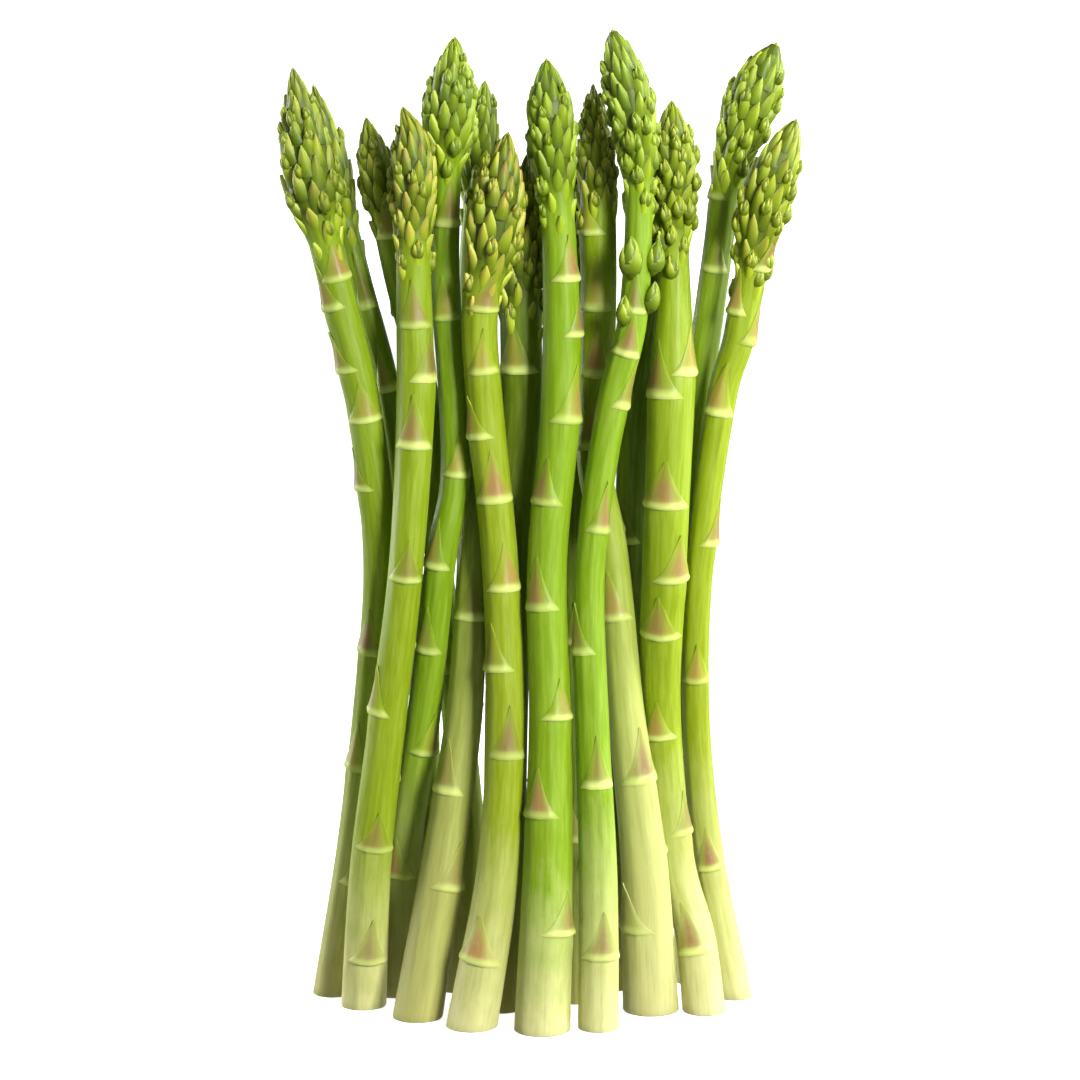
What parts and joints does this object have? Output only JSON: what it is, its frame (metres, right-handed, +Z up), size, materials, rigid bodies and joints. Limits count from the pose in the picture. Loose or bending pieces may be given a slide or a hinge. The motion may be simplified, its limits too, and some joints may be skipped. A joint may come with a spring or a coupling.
{
  "type": "bundle of asparagus",
  "caption": "Upright bunch of green asparagus spears gathered at the waist, with scaly pointed heads and pale cut ends.",
  "frame": {"origin": "centre of the bundle's footprint, on the surface that the cut ends stand on", "axes": "+Z up along the spears, the side seen in the picture faces -Y, +X to the right in the picture"},
  "size_m": [0.1158, 0.0525, 0.224],
  "materials": {
    "spear_01": "waxy satin skin",
    "spear_02": "waxy satin skin",
    "spear_03": "waxy satin skin",
    "spear_04": "waxy satin skin",
    "spear_05": "waxy satin skin",
    "spear_06": "waxy satin skin",
    "spear_07": "waxy satin skin",
    "spear_08": "waxy satin skin",
    "spear_09": "waxy satin skin",
    "spear_10": "waxy satin skin",
    "spear_11": "waxy satin skin",
    "spear_12": "waxy satin skin",
    "spear_13": "waxy satin skin",
    "spear_14": "waxy satin skin",
    "spear_15": "waxy satin skin",
    "spear_16": "waxy satin skin"
  },
  "bodies": {
    "root": {"spear_01": "spear_01", "spear_02": "spear_02", "spear_03": "spear_03", "spear_04": "spear_04", "spear_05": "spear_05", "spear_06": "spear_06", "spear_07": "spear_07", "spear_08": "spear_08", "spear_09": "spear_09", "spear_10": "spear_10", "spear_11": "spear_11", "spear_12": "spear_12", "spear_13": "spear_13", "spear_14": "spear_14", "spear_15": "spear_15", "spear_16": "spear_16"}
  },
  "joints": []
}
